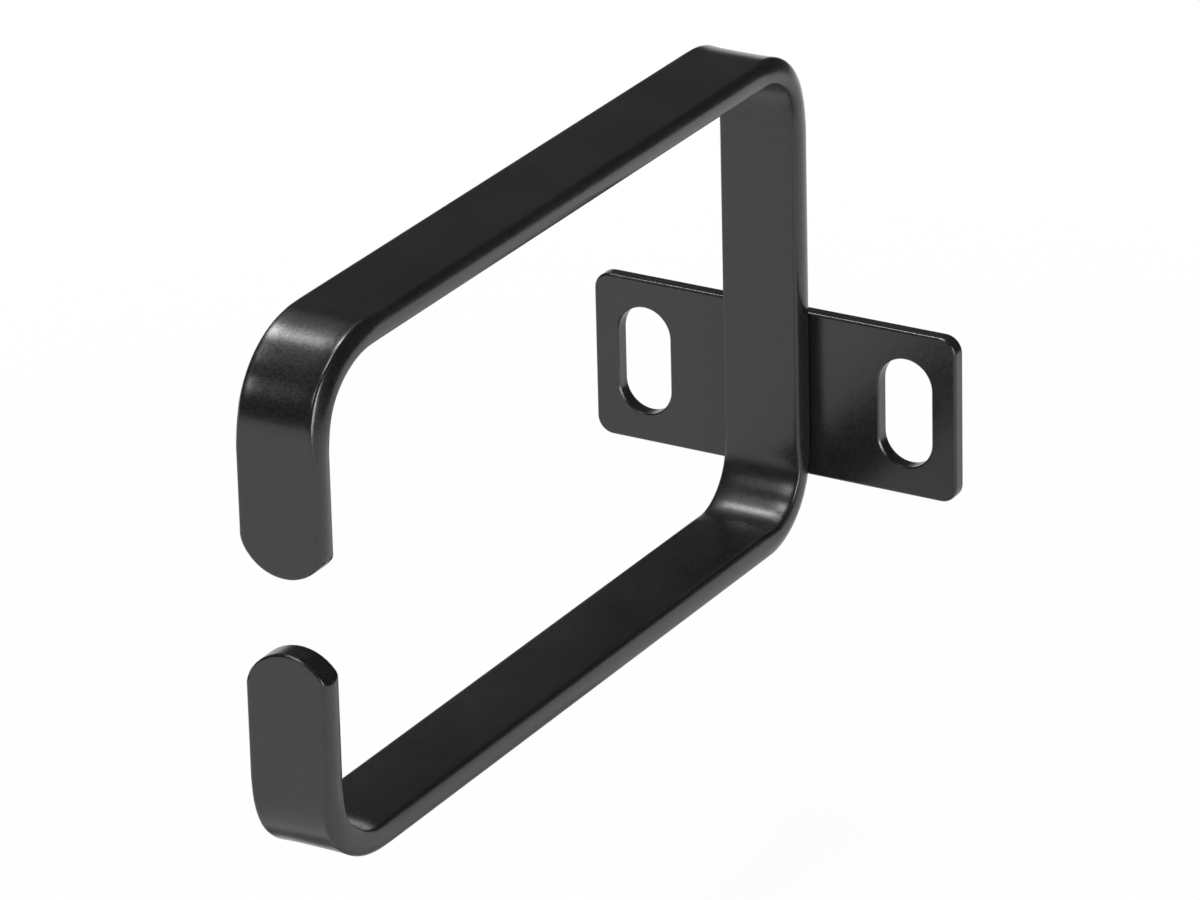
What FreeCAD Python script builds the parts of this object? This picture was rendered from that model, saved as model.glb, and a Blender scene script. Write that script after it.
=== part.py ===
import FreeCAD, Part
import math
import os

# Rack D-ring cable hook, in millimetres.
# The origin is the centre of the mounting plate's back face, which lies on the rack rail.
# +Y points into the rail, the ring stands out towards -Y, and +Z is up.

# Flat bar that the ring is bent from. Its two sides are crowned, as rolled.
bar_width = 9.5
bar_thickness = 2.85
bar_side_radius = 3.0
outer_edge_radius = 0.4
inner_edge_radius = 0.3

# Ring, outside sizes. Each bend is made of two half bends, given by their outside radii in the order
# that the bar runs: up the front, back along the top, down the back and forward along the bottom.
ring_height = 55.9
ring_depth = 97.4
half_bend_angle = 45
front_top_bend = (8.35, 11.8)
back_top_bend = (9.3, 8.2)
back_bottom_bend = (14.6, 8.3)
front_bottom_bend = (11.0, 7.3)

# Mouth in the middle of the front leg. Each end of the bar is cut to a round tongue,
# whose arc is a little larger than half of the bar's width.
mouth_gap = 8.0
tongue_extra_radius = 0.05
tongue_edge_radius = 0.3

# Mounting plate
plate_width = 43.9
plate_height = 18.75
plate_thickness = 1.75
plate_corner_radius = 1.9
plate_edge_radius = 0.3
plate_below_ring_middle = 12.7

# Screw slots, upright, with full round ends
slot_spacing = 31.75
slot_width = 6.35
slot_length = 12.35
slot_edge_break = 0.15

# Room that a cutting block has past what it cuts
cut_margin = 1.0

# Places that follow from the sizes
tongue_radius = bar_width / 2 + tongue_extra_radius
tongue_length = tongue_radius - math.sqrt(tongue_radius**2 - (bar_width / 2) ** 2)
plate_front_y = -plate_thickness
ring_back_y = plate_front_y
ring_front_y = ring_back_y - ring_depth
ring_middle_z = plate_below_ring_middle
ring_top_z = ring_middle_z + ring_height / 2
ring_bottom_z = ring_middle_z - ring_height / 2
mouth_top_z = ring_middle_z + mouth_gap / 2
mouth_bottom_z = ring_middle_z - mouth_gap / 2

across = FreeCAD.Vector(1, 0, 0)
forward = FreeCAD.Vector(0, 1, 0)
up = FreeCAD.Vector(0, 0, 1)


def on_circle(centre, towards, radius):
    """The point of a circle that lies in the direction of another point."""
    return centre + (towards - centre).normalize() * radius


def side_of_section(side):
    """Edge arc, crown and edge arc down one side of the bar, as (start, middle, end) in the section.

    x runs across the bar and y is the depth below its outer face. side is 1 or -1.
    """
    crown_centre = FreeCAD.Vector(bar_width / 2 - bar_side_radius, bar_thickness / 2, 0)
    arcs = []
    ends = []
    for face_y, inward, radius in ((0, 1, outer_edge_radius), (bar_thickness, -1, inner_edge_radius)):
        centre_y = face_y + inward * radius
        reach = bar_side_radius - radius
        run = math.sqrt(reach**2 - (centre_y - crown_centre.y) ** 2)
        centre = FreeCAD.Vector(crown_centre.x + run, centre_y, 0)
        on_face = FreeCAD.Vector(centre.x, face_y, 0)
        on_crown = on_circle(crown_centre, centre, bar_side_radius)
        middle = on_circle(centre, (on_face + on_crown) / 2, radius)
        arcs.append((on_face, middle, on_crown))
        ends.append(on_crown)
    crown_middle = FreeCAD.Vector(bar_width / 2, bar_thickness / 2, 0)
    outer, inner = arcs
    run_of_arcs = [outer, (ends[0], crown_middle, ends[1]), tuple(reversed(inner))]
    return [tuple(FreeCAD.Vector(p.x * side, p.y, 0) for p in arc) for arc in run_of_arcs]


def bar_section(place, inward):
    """Face of the bar's section, with the middle of its outer face at place."""

    def put(p):
        return place + across * p.x + inward * p.y

    right = side_of_section(1)
    left = side_of_section(-1)
    edges = [Part.Arc(*[put(p) for p in arc]).toShape() for arc in right]
    edges.append(Part.LineSegment(put(right[-1][2]), put(left[-1][2])).toShape())
    edges += [Part.Arc(*[put(p) for p in reversed(arc)]).toShape() for arc in reversed(left)]
    edges.append(Part.LineSegment(put(left[0][0]), put(right[0][0])).toShape())
    return Part.Face(Part.Wire(edges))


def bend_reach(near_radius, far_radius):
    """Length of a straight side that a bend takes up, next to the half bend of the near radius."""
    share = math.sin(math.radians(half_bend_angle))
    return near_radius * share + far_radius * (1 - share)


def bent_bar():
    """Straight runs and bends of the one bar, from the upper end round to the lower end."""
    upper_leg = ring_top_z - mouth_top_z
    lower_leg = mouth_bottom_z - ring_bottom_z
    sides = [upper_leg, ring_depth, ring_height, ring_depth, lower_leg]
    bends = [front_top_bend, back_top_bend, back_bottom_bend, front_bottom_bend, ()]
    place = FreeCAD.Vector(0, ring_front_y, mouth_top_z)
    heading = up
    inward = forward
    pieces = []
    taken = 0
    for side, bend in zip(sides, bends):
        run = side - taken - (bend_reach(*bend) if bend else 0)
        pieces.append(bar_section(place, inward).extrude(heading * run))
        place = place + heading * run
        axis = heading.cross(inward)
        half_turn = FreeCAD.Rotation(axis, half_bend_angle)
        for radius in bend:
            centre = place + inward * radius
            pieces.append(bar_section(place, inward).revolve(centre, axis, half_bend_angle))
            place = centre + half_turn.multVec(place - centre)
            heading = half_turn.multVec(heading)
            inward = half_turn.multVec(inward)
        taken = bend_reach(*reversed(bend)) if bend else 0
    return pieces[0].fuse(pieces[1:]).removeSplitter()


def tongue_waste(tip_z, away):
    """Block that leaves a round tongue when it is cut from a square end. away is the way off the end."""
    half = bar_width / 2
    shoulder = tip_z - away * tongue_length
    outside = tip_z + away * cut_margin
    start_y = ring_front_y - cut_margin

    def corner(x, z):
        return FreeCAD.Vector(x, start_y, z)

    arc = Part.Arc(corner(-half, shoulder), corner(0, tip_z), corner(half, shoulder)).toShape()
    rim = [
        corner(half, shoulder),
        corner(half + cut_margin, shoulder),
        corner(half + cut_margin, outside),
        corner(-half - cut_margin, outside),
        corner(-half - cut_margin, shoulder),
        corner(-half, shoulder),
    ]
    lines = [Part.LineSegment(a, b).toShape() for a, b in zip(rim, rim[1:])]
    face = Part.Face(Part.Wire([arc] + lines))
    return face.extrude(forward * (bar_thickness + 2 * cut_margin))


def tongue_edges(ring):
    """The rim of each tongue's cut face."""
    reach = mouth_gap / 2 + tongue_length + cut_margin
    edges = []
    for face in ring.Faces:
        surface = face.Surface
        box = face.BoundBox
        at_mouth = max(box.ZMax - ring_middle_z, ring_middle_z - box.ZMin) < reach
        if at_mouth and isinstance(surface, Part.Cylinder) and abs(surface.Axis.dot(forward)) > 0.99:
            edges += face.Edges
    return edges


def d_ring():
    """The bent bar with both of its ends cut to a tongue."""
    ring = bent_bar()
    ring = ring.cut(tongue_waste(mouth_top_z, -1))
    ring = ring.cut(tongue_waste(mouth_bottom_z, 1))
    return ring.makeFillet(tongue_edge_radius, tongue_edges(ring))


def rounded_rectangle(width, height, radius, x):
    """Upright face with round corners in the plane of the plate's front, with its middle at x."""
    across_flat = width / 2 - radius
    upright_flat = height / 2 - radius
    diagonal = radius * math.sqrt(0.5)
    edges = []
    last = None
    first = None
    for side_x, side_z in ((1, 1), (-1, 1), (-1, -1), (1, -1)):
        centre = FreeCAD.Vector(x + side_x * across_flat, plate_front_y, side_z * upright_flat)
        beside = centre + across * side_x * radius
        above = centre + up * side_z * radius
        middle = centre + across * side_x * diagonal + up * side_z * diagonal
        start, end = (beside, above) if side_x * side_z > 0 else (above, beside)
        if last is None:
            first = start
        elif (start - last).Length > 1e-6:
            edges.append(Part.LineSegment(last, start).toShape())
        edges.append(Part.Arc(start, middle, end).toShape())
        last = end
    if (first - last).Length > 1e-6:
        edges.append(Part.LineSegment(last, first).toShape())
    return Part.Face(Part.Wire(edges))


def face_edges(shape, y, x_limit):
    """Edges that lie in the plane at y and inside the given distance from the middle."""
    found = []
    for edge in shape.Edges:
        box = edge.BoundBox
        in_plane = abs(box.YMin - y) < 1e-4 and abs(box.YMax - y) < 1e-4
        if in_plane and max(abs(box.XMin), abs(box.XMax)) < x_limit:
            found.append(edge)
    return found


def mounting_plate():
    """Flat plate with round corners and two upright screw slots, and broken edges on both faces."""
    outline = rounded_rectangle(plate_width, plate_height, plate_corner_radius, 0)
    plate = outline.extrude(forward * plate_thickness)
    rim = face_edges(plate, plate_front_y, plate_width) + face_edges(plate, 0, plate_width)
    plate = plate.makeFillet(plate_edge_radius, rim)
    for side in (-1, 1):
        slot = rounded_rectangle(slot_width, slot_length, slot_width / 2, side * slot_spacing / 2)
        plate = plate.cut(slot.extrude(forward * plate_thickness))
    slot_reach = slot_spacing / 2 + slot_width / 2 + slot_edge_break
    rims = face_edges(plate, plate_front_y, slot_reach) + face_edges(plate, 0, slot_reach)
    return plate.makeChamfer(slot_edge_break, rims)


parts = {
    "d_ring": d_ring(),
    "mounting_plate": mounting_plate(),
}

os.makedirs("parts", exist_ok=True)
for name, shape in parts.items():
    solid = shape.Solids[0]
    solid.exportStep(os.path.join("parts", name + ".step"))
    print(name, "volume", round(solid.Volume, 1), "valid", solid.isValid(), "solids", len(shape.Solids))
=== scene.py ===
import math

import bmesh
import bpy
from mathutils import Matrix, Vector


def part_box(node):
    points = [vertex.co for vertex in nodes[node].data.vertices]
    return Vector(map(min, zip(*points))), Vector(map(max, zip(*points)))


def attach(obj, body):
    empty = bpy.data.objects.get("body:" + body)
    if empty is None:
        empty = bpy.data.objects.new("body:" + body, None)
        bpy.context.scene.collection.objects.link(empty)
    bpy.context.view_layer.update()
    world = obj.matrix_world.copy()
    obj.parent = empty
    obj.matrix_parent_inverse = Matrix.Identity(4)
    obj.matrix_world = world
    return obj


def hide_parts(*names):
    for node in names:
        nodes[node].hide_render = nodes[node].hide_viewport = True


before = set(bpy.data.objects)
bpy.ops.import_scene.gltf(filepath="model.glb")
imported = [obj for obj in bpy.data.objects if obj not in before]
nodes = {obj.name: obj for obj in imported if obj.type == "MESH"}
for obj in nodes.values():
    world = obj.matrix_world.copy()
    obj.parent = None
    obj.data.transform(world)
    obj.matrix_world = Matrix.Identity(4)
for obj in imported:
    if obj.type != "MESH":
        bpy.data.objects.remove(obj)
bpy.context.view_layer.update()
print("frame loaded:", ", ".join(sorted(nodes)))


# Shader maths: a socket that adds Math nodes when it is calculated with
class Wire:
    def __init__(self, tree, socket):
        self.tree = tree
        self.socket = socket

    def node(self, kind, settings=None, sockets=None, output=0):
        return addNode(self.tree, kind, settings, sockets, output)

    def maths(self, operation, *values):
        return self.node("ShaderNodeMath", {"operation": operation}, dict(enumerate(values)))

    def __add__(self, other):
        return self.maths("ADD", self, other)

    def __radd__(self, other):
        return self.maths("ADD", other, self)

    def __sub__(self, other):
        return self.maths("SUBTRACT", self, other)

    def __rsub__(self, other):
        return self.maths("SUBTRACT", other, self)

    def __mul__(self, other):
        return self.maths("MULTIPLY", self, other)

    def __rmul__(self, other):
        return self.maths("MULTIPLY", other, self)


# Any other node: its type, its settings, then the values or links of its sockets
def addNode(tree, kind, settings=None, sockets=None, output=0):
    made = tree.nodes.new(kind)
    for name, value in (settings or {}).items():
        if name == "stops":
            ramp = made.color_ramp
            while len(ramp.elements) < len(value):
                ramp.elements.new(0.5)
            for element, (place, colour) in zip(ramp.elements, value):
                element.position = place
                element.color = colour
        else:
            setattr(made, name, value)
    for name, value in (sockets or {}).items():
        if isinstance(value, Wire):
            tree.links.new(value.socket, made.inputs[name])
        else:
            made.inputs[name].default_value = value
    return Wire(tree, made.outputs[output])


def newMaterial(name):
    material = bpy.data.materials.new(name)
    material.use_nodes = True
    tree = material.node_tree
    tree.nodes.clear()
    return material, tree


def finishMaterial(tree, shader):
    out = tree.nodes.new("ShaderNodeOutputMaterial")
    tree.links.new(shader.socket, out.inputs["Surface"])


# Black powder coat. Sizes and heights are in metres, and each noise is its size, detail and roughness.
# The coat is a little rougher inside a bend.
coat = {
    "colour": (0.0040, 0.0039, 0.0036, 1),
    "paleColour": (0.0147, 0.0146, 0.0139, 1),
    "clouds": (0.011, 3, 0.5),
    "peel": (0.00075, 1, 0.5),
    "peelHeight": 0.000008,
    "grain": (0.00032, 2, 0.6),
    "grainHeight": 0.000004,
    "noiseMiddle": 0.5,
    "toneRange": (0.35, 0.65),
    "cloudShare": 0.2,
    "roughness": 0.24,
    "roughnessSpread": 0.10,
    "roughnessInside": 0.08,
    "ior": 1.70,
    "shiftPerNode": 0.31,
}


def powderCoat(name, values, shift):
    material, tree = newMaterial(name)
    place = addNode(tree, "ShaderNodeTexCoord", None, None, "Object")
    shifted = addNode(tree, "ShaderNodeMapping", None, {"Vector": place, "Location": (shift, 0, 0)})
    low, high = values["toneRange"]

    def noise(size, detail, rough):
        return addNode(tree, "ShaderNodeTexNoise", None,
                       {"Vector": shifted, "Scale": 1 / size, "Detail": detail, "Roughness": rough})

    def stretched(pattern):
        return addNode(tree, "ShaderNodeMapRange", None, {"Value": pattern, "From Min": low, "From Max": high})

    clouds = noise(*values["clouds"])
    peel = noise(*values["peel"])
    grain = noise(*values["grain"])
    share = values["cloudShare"]
    tone = stretched(clouds) * share + stretched(grain) * (1 - share)
    colour = addNode(tree, "ShaderNodeMix", {"data_type": "RGBA"},
                     {0: tone, 6: values["colour"], 7: values["paleColour"]}, 2)
    spread = values["roughnessSpread"]
    middle = values["noiseMiddle"]
    inside = addNode(tree, "ShaderNodeAttribute", {"attribute_name": "inside_bend"}, None, "Fac")
    roughness = (clouds - middle) * spread + (grain - middle) * spread
    roughness = roughness + values["roughness"] + inside * values["roughnessInside"]
    wave = addNode(tree, "ShaderNodeBump", None,
                   {"Height": peel, "Distance": values["peelHeight"], "Strength": 1.0})
    bumps = addNode(tree, "ShaderNodeBump", None,
                    {"Height": grain, "Distance": values["grainHeight"], "Strength": 1.0, "Normal": wave})
    shader = addNode(tree, "ShaderNodeBsdfPrincipled", None,
                     {"Base Color": colour, "Roughness": roughness, "IOR": values["ior"], "Normal": bumps})
    finishMaterial(tree, shader)
    return material


for number, name in enumerate(("d_ring", "mounting_plate")):
    nodes[name].data.materials[0] = powderCoat("coat_" + name, coat, number * coat["shiftPerNode"])
print("powder coat on", len(nodes), "nodes")


# The bent bar, finer than its solid. Sizes in metres. It runs up the front, back along the top, down the back and
# forward along the bottom to the lower tongue. The two radii of a bend are the outside radii of its halves.
# squeeze is how far each bend draws the bar's outside in and spreads its inside. lift and lip bow its edges out.
# fade is the length over which a bend sets in. across, through and along are how finely the bar is divided.
bar = {
    "width": 0.0095,
    "thickness": 0.00285,
    "sideRadius": 0.003,
    "outerEdge": 0.00024,
    "innerEdge": 0.0002,
    "edgeSegments": 4,
    "sides": (0.02395, 0.0974, 0.0559, 0.0974, 0.02395),
    "bends": ((0.00835, 0.0118), (0.0093, 0.0082), (0.0090, 0.0085), (0.0110, 0.0073)),
    "tongueRadius": 0.0051,
    "tongueShift": 0.00035,
    "rimRadius": 0.00028,
    "rimSegments": 4,
    "squeeze": (0.45, 0.36, 0.27, 0.36),
    "lift": 0.03,
    "lip": 0.08,
    "lipReach": 0.0040,
    "lipPower": 4,
    "fade": 0.0030,
    "across": 16,
    "through": 6,
    "along": 420,
}


# Straight runs and half bends, each with where it starts along the bar and which way it heads there
def barRuns(values):
    reach = math.sqrt(0.5)
    half = values["thickness"] / 2
    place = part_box("d_ring")[0].copy()
    place.x = 0
    place.z += values["sides"][2] - values["sides"][0]
    heading = Vector((0, 0, 1))
    inward = Vector((0, 1, 0))
    runs = []
    start = 0
    taken = 0
    for side, bend, squeeze in zip(values["sides"], values["bends"] + ((),), values["squeeze"] + (0,)):
        wanted = bend[0] * reach + bend[1] * (1 - reach) if bend else 0
        runs.append((start, side - taken - wanted, 0, 0, place.copy(), heading.copy(), inward.copy()))
        place += heading * (side - taken - wanted)
        start += side - taken - wanted
        taken = bend[1] * reach + bend[0] * (1 - reach) if bend else 0
        for radius in bend:
            length = (radius - half) * math.pi / 4
            runs.append((start, length, radius, squeeze, place.copy(), heading.copy(), inward.copy()))
            place += inward * radius * (1 - reach) + heading * radius * reach
            heading, inward = (heading + inward) * reach, (inward - heading) * reach
            start += length
    return runs


# How sharply a short window along the bar is bent, and the same times the squeeze of the bend
def bendAt(runs, along, values):
    low = along - values["fade"] / 2
    high = along + values["fade"] / 2
    bent = 0
    squeezed = 0
    for start, length, radius, squeeze, _, _, _ in runs:
        if radius:
            overlap = max(0, min(high, start + length) - max(low, start))
            share = overlap / values["fade"] / (radius - values["thickness"] / 2)
            bent += share
            squeezed += share * squeeze
    return bent, squeezed


# How far a point near an end of the straight bar moves on, so that the end is a round tongue
def tongueDrop(co, runs, values, whole):
    atStart = co.z < whole / 2
    leg = runs[0][1] if atStart else runs[-1][1]
    end = co.z if atStart else whole - co.z
    if end > leg:
        return 0
    radius = values["tongueRadius"]
    beside = co.x - values["tongueShift"]
    drop = (radius - math.sqrt(max(0, radius**2 - beside**2))) * (1 - end / leg)
    return drop if atStart else -drop


def bendVertex(co, runs, values):
    half = values["thickness"] / 2
    depth = co.y + half
    along = co.z
    bent, squeezed = bendAt(runs, along, values)
    across = co.x * (1 + squeezed * (depth - half))
    lip = values["lip"] * (across / values["lipReach"]) ** values["lipPower"]
    depth -= bent * across**2 / 2 * (values["lift"] + lip)
    run = [r for r in runs if r[0] <= along][-1] if along > 0 else runs[0]
    start, _, radius, _, place, heading, inward = run
    if radius:
        angle = (along - start) / (radius - half)
        outer = place + inward * radius * (1 - math.cos(angle)) + heading * radius * math.sin(angle)
        inward = inward * math.cos(angle) - heading * math.sin(angle)
    else:
        outer = place + heading * (along - start)
    return outer + inward * depth + Vector((across, 0, 0))


# A grid is rounded to the bar's section, drawn out straight, cut to tongues at its ends and then bent
def makeBar(values):
    runs = barRuns(values)
    whole = runs[-1][0] + runs[-1][1]
    width = values["width"]
    thickness = values["thickness"]
    nearlyHalf = 0.49
    nearlyOne = 0.99
    shape = bmesh.new()
    bmesh.ops.create_grid(shape, x_segments=values["across"], y_segments=values["through"], size=0.5)
    bmesh.ops.scale(shape, verts=shape.verts, vec=(width, thickness, 1))
    for side, radius in ((-1, values["outerEdge"]), (1, values["innerEdge"])):
        corners = [v for v in shape.verts if len(v.link_edges) == 2
                   and v.co.y * side > nearlyHalf * thickness and abs(v.co.x) > nearlyHalf * width]
        bmesh.ops.bevel(shape, geom=corners, offset=radius, offset_type="OFFSET",
                        segments=values["edgeSegments"], profile=0.5, affect="VERTICES", material=-1)
    crown = values["sideRadius"]
    for vert in shape.verts:
        vert.co.x *= 1 - (crown - math.sqrt(crown**2 - vert.co.y**2)) / (width / 2)
    made = bmesh.ops.extrude_face_region(shape, geom=shape.faces[:])["geom"]
    far = [item for item in made if isinstance(item, bmesh.types.BMVert)]
    bmesh.ops.translate(shape, verts=far, vec=(0, 0, whole))
    longEdges = [e for e in shape.edges if abs(e.verts[0].co.z - e.verts[1].co.z) > whole / 2]
    bmesh.ops.subdivide_edges(shape, edges=longEdges, cuts=values["along"], use_grid_fill=True)
    bmesh.ops.recalc_face_normals(shape, faces=shape.faces)
    ends = {f for f in shape.faces if abs(f.normal.z) > nearlyOne}
    rims = [e for e in shape.edges if len(ends.intersection(e.link_faces)) == 1]
    for vert in shape.verts:
        vert.co.z += tongueDrop(vert.co, runs, values, whole)
    bmesh.ops.bevel(shape, geom=rims, offset=values["rimRadius"], offset_type="OFFSET",
                    segments=values["rimSegments"], profile=0.5, affect="EDGES", material=-1)
    insideBend = shape.verts.layers.float.new("inside_bend")
    sharpest = 1 / (min(min(bend) for bend in values["bends"]) - thickness / 2)
    for vert in shape.verts:
        vert[insideBend] = bendAt(runs, vert.co.z, values)[0] / sharpest if vert.co.y > 0 else 0
        vert.co = bendVertex(vert.co, runs, values)
    bmesh.ops.recalc_face_normals(shape, faces=shape.faces)
    for face in shape.faces:
        face.smooth = True
    openEdges = [e for e in shape.edges if not e.is_manifold]
    print("bar:", len(shape.faces), "faces,", len(openEdges), "open edges")
    mesh = bpy.data.meshes.new("bent_bar")
    shape.to_mesh(mesh)
    shape.free()
    mesh.materials.append(nodes["d_ring"].data.materials[0])
    piece = bpy.data.objects.new("bent_bar", mesh)
    bpy.context.scene.collection.objects.link(piece)
    weighted = piece.modifiers.new("weighted_normals", "WEIGHTED_NORMAL")
    weighted.mode = "FACE_AREA"
    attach(piece, "root")
    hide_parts("d_ring")


makeBar(bar)


# Floor: nearly white to the camera near the ring, so that a faint shadow shows, and white further out. Its far rim
# stands up. Its far part is white in the coat's gloss too. A small dark spot of painted shadow, a darker colour in
# the floor itself, lies under the ring where the underside of the front bend mirrors the floor.
floorValues = {
    "below": 0.031,
    "right": 0.285,
    "left": 1.6,
    "front": 1.4,
    "back": 0.60,
    "backHeight": 0.12,
    "turn": 30.6,
    "edgeReach": 0.01,
    "colour": (0.86, 0.86, 0.86, 1),
    # the colour of the painted shadow under the ring, its middle and the radii over which it fades out
    "paintedShadowColour": (0.20, 0.20, 0.20, 1),
    "paintedShadowMiddle": (-0.014, -0.082),
    "paintedShadowRadius": (0.010, 0.018),
    "whiteToCamera": 0.97,
    "whiteRadius": (0.10, 0.24),
    "whiteToGloss": (0.0, 1.0),
    "glossAlongY": (0.04, 0.22),
}


def makeFloor(values):
    mesh = bpy.data.meshes.new("floor")
    shape = bmesh.new()
    bmesh.ops.create_grid(shape, x_segments=1, y_segments=1, size=0.5)
    width = values["left"] + values["right"]
    depth = values["front"] + values["back"]
    bmesh.ops.scale(shape, verts=shape.verts, vec=(width, depth, 1))
    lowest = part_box("d_ring")[0].z - values["below"]
    middle = ((values["right"] - values["left"]) / 2, (values["back"] - values["front"]) / 2, lowest)
    bmesh.ops.translate(shape, verts=shape.verts, vec=middle)
    farEdge = [e for e in shape.edges if all(v.co.y > values["back"] - values["edgeReach"] for v in e.verts)]
    risen = bmesh.ops.extrude_edge_only(shape, edges=farEdge)["geom"]
    risen = [item for item in risen if isinstance(item, bmesh.types.BMVert)]
    bmesh.ops.translate(shape, verts=risen, vec=(0, 0, values["backHeight"] - lowest))
    turn = Matrix.Rotation(math.radians(values["turn"]), 3, "Z")
    bmesh.ops.rotate(shape, verts=shape.verts, cent=(0, 0, 0), matrix=turn)
    shape.to_mesh(mesh)
    shape.free()
    floor = bpy.data.objects.new("floor", mesh)
    bpy.context.scene.collection.objects.link(floor)
    material, tree = newMaterial("pale_floor")
    fromCamera = addNode(tree, "ShaderNodeLightPath", None, None, "Is Camera Ray")
    fromGloss = addNode(tree, "ShaderNodeLightPath", None, None, "Is Glossy Ray")
    place = addNode(tree, "ShaderNodeTexCoord", None, None, "Object")
    away = addNode(tree, "ShaderNodeVectorMath", {"operation": "LENGTH"}, {0: place}, "Value")
    near, far = values["whiteRadius"]
    cameraShare = addNode(tree, "ShaderNodeMapRange", {"interpolation_type": "SMOOTHSTEP"},
                          {"Value": away, "From Min": near, "From Max": far,
                           "To Min": values["whiteToCamera"], "To Max": 1.0})
    alongY = addNode(tree, "ShaderNodeSeparateXYZ", None, {0: place}, "Y")
    low, high = values["glossAlongY"]
    dim, bright = values["whiteToGloss"]
    glossShare = addNode(tree, "ShaderNodeMapRange", None,
                         {"Value": alongY, "From Min": low, "From Max": high, "To Min": dim, "To Max": bright})
    share = fromCamera * cameraShare + fromGloss * glossShare
    # Painted shadow: the floor's colour darkens in a small spot under the ring, standing in for the shade there
    shift = (-values["paintedShadowMiddle"][0], -values["paintedShadowMiddle"][1], 0)
    paintedShadowDistance = addNode(tree, "ShaderNodeMapping", None, {"Vector": place, "Location": shift, "Scale": (1, 1, 0)})
    paintedShadowDistance = addNode(tree, "ShaderNodeVectorMath", {"operation": "LENGTH"}, {0: paintedShadowDistance}, "Value")
    near, far = values["paintedShadowRadius"]
    clear = addNode(tree, "ShaderNodeMapRange", None, {"Value": paintedShadowDistance, "From Min": near, "From Max": far})
    colour = addNode(tree, "ShaderNodeMix", {"data_type": "RGBA"},
                     {0: clear, 6: values["paintedShadowColour"], 7: values["colour"]}, 2)
    matt = addNode(tree, "ShaderNodeBsdfDiffuse", None, {"Color": colour})
    white = addNode(tree, "ShaderNodeEmission", None, {"Color": (1, 1, 1, 1), "Strength": 1.0})
    finishMaterial(tree, addNode(tree, "ShaderNodeMixShader", None, {0: share, 1: matt, 2: white}))
    mesh.materials.append(material)


makeFloor(floorValues)


# World: white behind the floor's rim, a dim grey room for everything else
roomGrey = 0.055


def makeWorld(grey):
    world = bpy.data.worlds.new("room")
    bpy.context.scene.world = world
    world.use_nodes = True
    tree = world.node_tree
    tree.nodes.clear()
    seen = addNode(tree, "ShaderNodeLightPath", None, None, "Is Camera Ray")
    dim = addNode(tree, "ShaderNodeBackground", None, {"Color": (grey, grey, grey, 1), "Strength": 1.0})
    white = addNode(tree, "ShaderNodeBackground", None, {"Color": (1, 1, 1, 1), "Strength": 1.0})
    mixed = addNode(tree, "ShaderNodeMixShader", None, {0: seen, 1: dim, 2: white})
    out = tree.nodes.new("ShaderNodeOutputWorld")
    tree.links.new(mixed.socket, out.inputs["Surface"])


makeWorld(roomGrey)

# Soft boxes: the way to each from the ring, the way its long side runs, its size and the brightness of its face
boxDistance = 1.5
boxCentre = (0, -0.05, 0.0125)
softBoxes = {
    "overhead_box": {"towards": (-0.43, 0.28, 1.42), "along": (1, 0, 0), "size": (0.62, 0.23), "brightness": 21.0},
    "overhead_strip": {"towards": (-0.28, -0.33, 1.43), "along": (1, 0, 0), "size": (0.45, 0.40), "brightness": 11.0},
    "overhead_glow": {"towards": (-0.40, 0.66, 1.25), "along": (1, 0, 0), "size": (0.90, 0.80), "brightness": 0.35},
    "front_strip": {"towards": (-0.34, -1.13, 0.92), "along": (1, 0, 0), "size": (0.47, 0.40), "brightness": 5.0},
    "side_strip": {"towards": (0.85, -0.45, 0.25), "along": (0, 0, 1), "size": (1.10, 0.34), "brightness": 10.0},
}


def makeLamps(boxes, distance, centre):
    for name, values in boxes.items():
        lamp = bpy.data.lights.new(name, "AREA")
        lamp.shape = "RECTANGLE"
        lamp.size, lamp.size_y = values["size"]
        lamp.energy = math.pi * values["size"][0] * values["size"][1] * values["brightness"]
        towards = Vector(values["towards"]).normalized()
        along = Vector(values["along"])
        along = (along - towards * along.dot(towards)).normalized()
        turn = Matrix((along, towards.cross(along), towards)).transposed()
        holder = bpy.data.objects.new(name, lamp)
        holder.matrix_world = Matrix.Translation(Vector(centre) + towards * distance) @ turn.to_4x4()
        bpy.context.scene.collection.objects.link(holder)


makeLamps(softBoxes, boxDistance, boxCentre)

# Camera: angles in degrees, lengths in metres, lens in millimetres
cameraValues = {
    "azimuth": 30.659,
    "elevation": 23.360,
    "roll": -1.429,
    "distance": 0.77248,
    "aim": (0.004642, -0.046232, 0.010741),
    "lens": 228.68,
    "sensor": 36,
    "clip": (0.01, 50),
}


def makeCamera(values):
    azimuth = math.radians(values["azimuth"])
    elevation = math.radians(values["elevation"])
    level = math.cos(elevation)
    back = Vector((math.sin(azimuth) * level, -math.cos(azimuth) * level, math.sin(elevation)))
    right = Vector((math.cos(azimuth), math.sin(azimuth), 0))
    turn = Matrix((right, back.cross(right), back)).transposed().to_4x4()
    turn = turn @ Matrix.Rotation(math.radians(values["roll"]), 4, "Z")
    data = bpy.data.cameras.new("camera")
    data.sensor_width = values["sensor"]
    data.lens = values["lens"]
    data.clip_start, data.clip_end = values["clip"]
    camera = bpy.data.objects.new("camera", data)
    camera.matrix_world = Matrix.Translation(Vector(values["aim"]) + back * values["distance"]) @ turn
    bpy.context.scene.collection.objects.link(camera)
    bpy.context.scene.camera = camera


makeCamera(cameraValues)
bpy.context.scene.view_settings.view_transform = "Standard"
print("camera, floor and", len(softBoxes), "soft boxes set")
